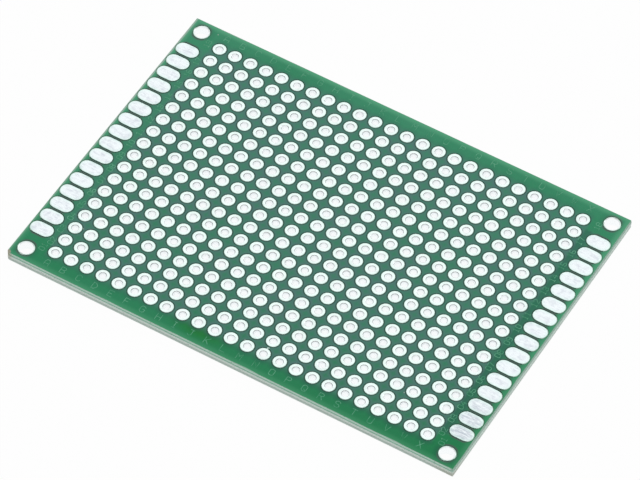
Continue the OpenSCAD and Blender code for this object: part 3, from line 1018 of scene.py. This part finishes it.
# A low bar with sloped sides along a path: at each point the section is laid across the mean of the two
# directions and widened so that the bar keeps its width. Open ends run on by half the width and are closed.
def strokeBar(path):
    spec = indexMarks
    closed = np.allclose(path[0], path[-1])
    path = path[:-1] if closed else path
    ahead = np.roll(path, -1, axis=0) - path
    ahead /= np.linalg.norm(ahead, axis=1, keepdims=True)
    if not closed:
        ahead[-1] = ahead[-2]
    before = np.roll(ahead, 1, axis=0)
    if not closed:
        before[0] = ahead[0]
        path = path.copy()
        path[0] -= ahead[0] * spec["halfStroke"]
        path[-1] += ahead[-1] * spec["halfStroke"]
    aside = np.stack([-(ahead + before)[:, 1], (ahead + before)[:, 0]], axis=-1)
    aside /= np.maximum(1 + (ahead * before).sum(axis=1, keepdims=True), spec["sharpestTurn"])
    low, high, top = -spec["sunk"], spec["raised"], spec["topShare"]
    offset, height = np.array([(-1, low), (-top, high), (top, high), (1, low)]).T
    flat = path[:, None, :] + aside[:, None, :] * offset[None, :, None] * spec["halfStroke"]
    tall = np.broadcast_to(height[None, :, None], (*flat.shape[:2], 1))
    faces = gridQuads(len(path), 4, closeRings=closed)
    if not closed:
        last = 4 * len(path)
        faces = np.concatenate([faces, [[0, 1, 2, 3], [last - 1, last - 2, last - 3, last - 4]]])
    return np.concatenate([flat, tall], axis=-1).reshape(-1, 3), faces


# The bars of a word about the origin: grid points scaled to the height, each sign one step further along X
def signBars(word, height):
    spec = indexMarks
    step = (spec["widthShare"] + spec["spacing"]) * height
    wide, high = spec["grid"]
    bars = []
    for signPlace, sign in enumerate(word):
        for order, stroke in enumerate(signStrokes[sign].split("|")):
            grid = np.array([(int(pair[0]), int(pair[1])) for pair in stroke.split()], float)
            path = (grid - [wide / 2, high / 2]) * [spec["widthShare"] * height / wide, height / high]
            points, faces = strokeBar(path + [(signPlace - (len(word) - 1) / 2) * step, 0])
            bars.append((points + [0, 0, order * spec["lift"]], faces))
    return bars


# Every mark turned and moved to its place. Numbers are turned a quarter to the left. On the underside X and Z
# are mirrored about the mark, which is a half turn about Y, so that they read from below.
def placeMarks(name, surface, upward):
    spec = indexMarks
    marks = [(letter, x, y, 0, spec["letterHeight"]) for letter, x in zip(spec["letters"], columnXs)
             for y in (spec["letterFront"], spec["letterBack"])]
    for number, y in enumerate(rowYs, start=1):
        inner = 1 < number < len(rowYs)
        marks += [(f"{number:02d}", side * (spec["numberX"] + (0 if inner else spec["outerShift"][side])),
                   y + (spec["numberShift"] if inner else 0), 90, spec["numberHeight"]) for side in (-1, 1)]
    allPoints, allFaces, start = [], [], 0
    for word, x, y, turn, height in marks:
        spin = np.array(Matrix.Rotation(math.radians(turn), 3, "Z"))
        for points, faces in signBars(word, height):
            turned = points @ spin.T * ([1, 1, 1] if upward else [-1, 1, -1])
            allPoints.append(turned + [x, y, surface])
            allFaces.append(faces + start)
            start += len(points)
    piece = meshPiece(name, np.concatenate(allPoints), np.concatenate(allFaces), sharpAngle=30)
    editMesh(piece.data, faceOutwards)
    return piece


def makeMarkInk():
    spec = indexMarks
    material, shader, coords = startMaterial("raisedMarks")
    patches = noise(coords["Object"], *spec["patches"])
    cloth = fillGroup(glassCloth, {"Vector": coords["Object"], **weave})["Height"]
    connect(shader, {"Base Color": mixColour(remap(patches, *spec["patchBand"]), spec["deep"], spec["light"]),
                     "Normal": bumped(cloth, *spec["bump"]), "Roughness": remap(patches, *spec["roughness"]),
                     "Specular IOR Level": solderMask["specular"]})
    return material


markInk = makeMarkInk()
finishPiece(placeMarks("index_marks_top", maskHigh.z, True), markInk, "solder_mask")
finishPiece(placeMarks("index_marks_bottom", underLow.z, False), markInk, "solder_mask")
print("index marks finished")

studio = {
    "floorRadius": 3.0,
    "floorSides": 96,
    "floorColour": rgb(244, 244, 244),
    "floorPale": rgb(250, 250, 250),
    "floorGrain": 40.0,
    "grainBand": (0.3, 0.7, 0.0, 0.2),
    "glow": 0.97,  # share of the floor that the camera sees as plain white
    "lightTable": 0.35,  # white that it gives to all but mirror and glass rays, which lights what lies on it
    "overhead": 1.06,
    "horizon": 0.42,
    "horizonBand": (0.05, 0.4),  # sines of the elevations between which the sky fades
    "cards": [((-0.6, -0.75, 0.1), (-0.1, 0.8), 0.45),  # dark cards: direction, band of its cosine, level
              ((0.9, 0.15, 0.45), (0.35, 0.95), 0.55)],
    "windowPower": 0.3,
    "windowSize": (0.3, 0.3),
    "windowPlace": (0.3, 0.5, 0.5),
    "windowAim": (-0.01, 0.01, 0.0),
}


# A disc that shows plain white to the camera and in mirrors, and is clear from below
def makeFloor():
    spec = studio
    turn = np.linspace(0, fullTurn, spec["floorSides"] + 1)[:-1]
    ring = np.stack([np.cos(turn), np.sin(turn), 0 * turn], axis=-1) * spec["floorRadius"]
    mesh = bpy.data.meshes.new("floor")
    mesh.from_pydata(ring.tolist(), [], [tuple(range(len(turn)))])
    material = bpy.data.materials.new("paleFloor")
    tree = emptyTree(material)
    paths = place("ShaderNodeLightPath", {}, tree)
    mirrored = plus(paths["Is Glossy Ray"], paths["Is Transmission Ray"], clamp=True)
    straight = greater(times(paths["Is Camera Ray"], spec["glow"]), spec["lightTable"])
    seen = plus(mirrored, straight, clamp=True)
    grain = noise(place("ShaderNodeTexCoord", {}, tree)["Object"], spec["floorGrain"])
    colour = mixColour(remap(grain, *spec["grainBand"]), spec["floorColour"], spec["floorPale"])
    paper = place("ShaderNodeBsdfDiffuse", {"Color": colour})[0]
    glow = place("ShaderNodeEmission", {"Color": (1, 1, 1, 1), "Strength": 1.0}, tree)[0]
    lit = place("ShaderNodeMixShader", {0: seen, 1: paper, 2: glow})[0]
    clear = place("ShaderNodeBsdfTransparent", {}, tree)[0]
    back = place("ShaderNodeNewGeometry", {}, tree)["Backfacing"]
    both = place("ShaderNodeMixShader", {0: back, 1: lit, 2: clear})[0]
    place("ShaderNodeOutputMaterial", {"Surface": both})
    mesh.materials.append(material)
    addObject("floor", mesh)


# Even white overhead, falling off smoothly towards the horizon, with a soft darker patch round each card
def makeSky():
    spec = studio
    world = bpy.data.worlds.new("studioSky")
    bpy.context.scene.world = world
    way = place("ShaderNodeTexCoord", {}, emptyTree(world))["Generated"]
    level = smooth(axes(way)[2], *spec["horizonBand"], spec["horizon"], spec["overhead"])
    for card, edge, low in spec["cards"]:
        middle = tuple(Vector(card).normalized())
        near = place("ShaderNodeVectorMath", {0: way, 1: middle}, operation="DOT_PRODUCT")["Value"]
        level = times(level, smooth(near, *edge, 1.0, low))
    background = place("ShaderNodeBackground", {"Color": (1, 1, 1, 1), "Strength": level})[0]
    place("ShaderNodeOutputWorld", {"Surface": background})


def makeWindow():
    spec = studio
    lamp = bpy.data.lights.new("window", "AREA")
    lamp.shape = "RECTANGLE"
    lamp.size, lamp.size_y = spec["windowSize"]
    lamp.energy = spec["windowPower"]
    window = addObject("window", lamp)
    window.location = Vector(spec["windowPlace"])
    window.rotation_euler = (Vector(spec["windowAim"]) - window.location).to_track_quat("-Z", "Y").to_euler()


cameraView = {
    "azimuth": 28.27,
    "elevation": 51.13,
    "roll": 2.81,
    "distance": 680.08 * mm,
    "aim": (0.33 * mm, -0.69 * mm, crownTop),
    "lens": 279.76,
    "sensor": 36.0,
}


def makeCamera():
    spec = cameraView
    azimuth, elevation = math.radians(spec["azimuth"]), math.radians(spec["elevation"])
    away = Vector((math.sin(azimuth) * math.cos(elevation), -math.cos(azimuth) * math.cos(elevation),
                   math.sin(elevation)))
    lens = bpy.data.cameras.new("camera")
    lens.lens, lens.sensor_width = spec["lens"], spec["sensor"]
    camera = addObject("camera", lens)
    upright = (-away).to_track_quat("-Z", "Y").to_matrix()
    turned = (upright @ Matrix.Rotation(math.radians(spec["roll"]), 3, "Z")).to_4x4()
    camera.matrix_world = Matrix.Translation(Vector(spec["aim"]) + away * spec["distance"]) @ turned
    bpy.context.scene.camera = camera


makeFloor()
makeSky()
makeWindow()
makeCamera()
bpy.context.scene.view_settings.view_transform = "Standard"
print("studio ready")

bpy.context.view_layer.update()
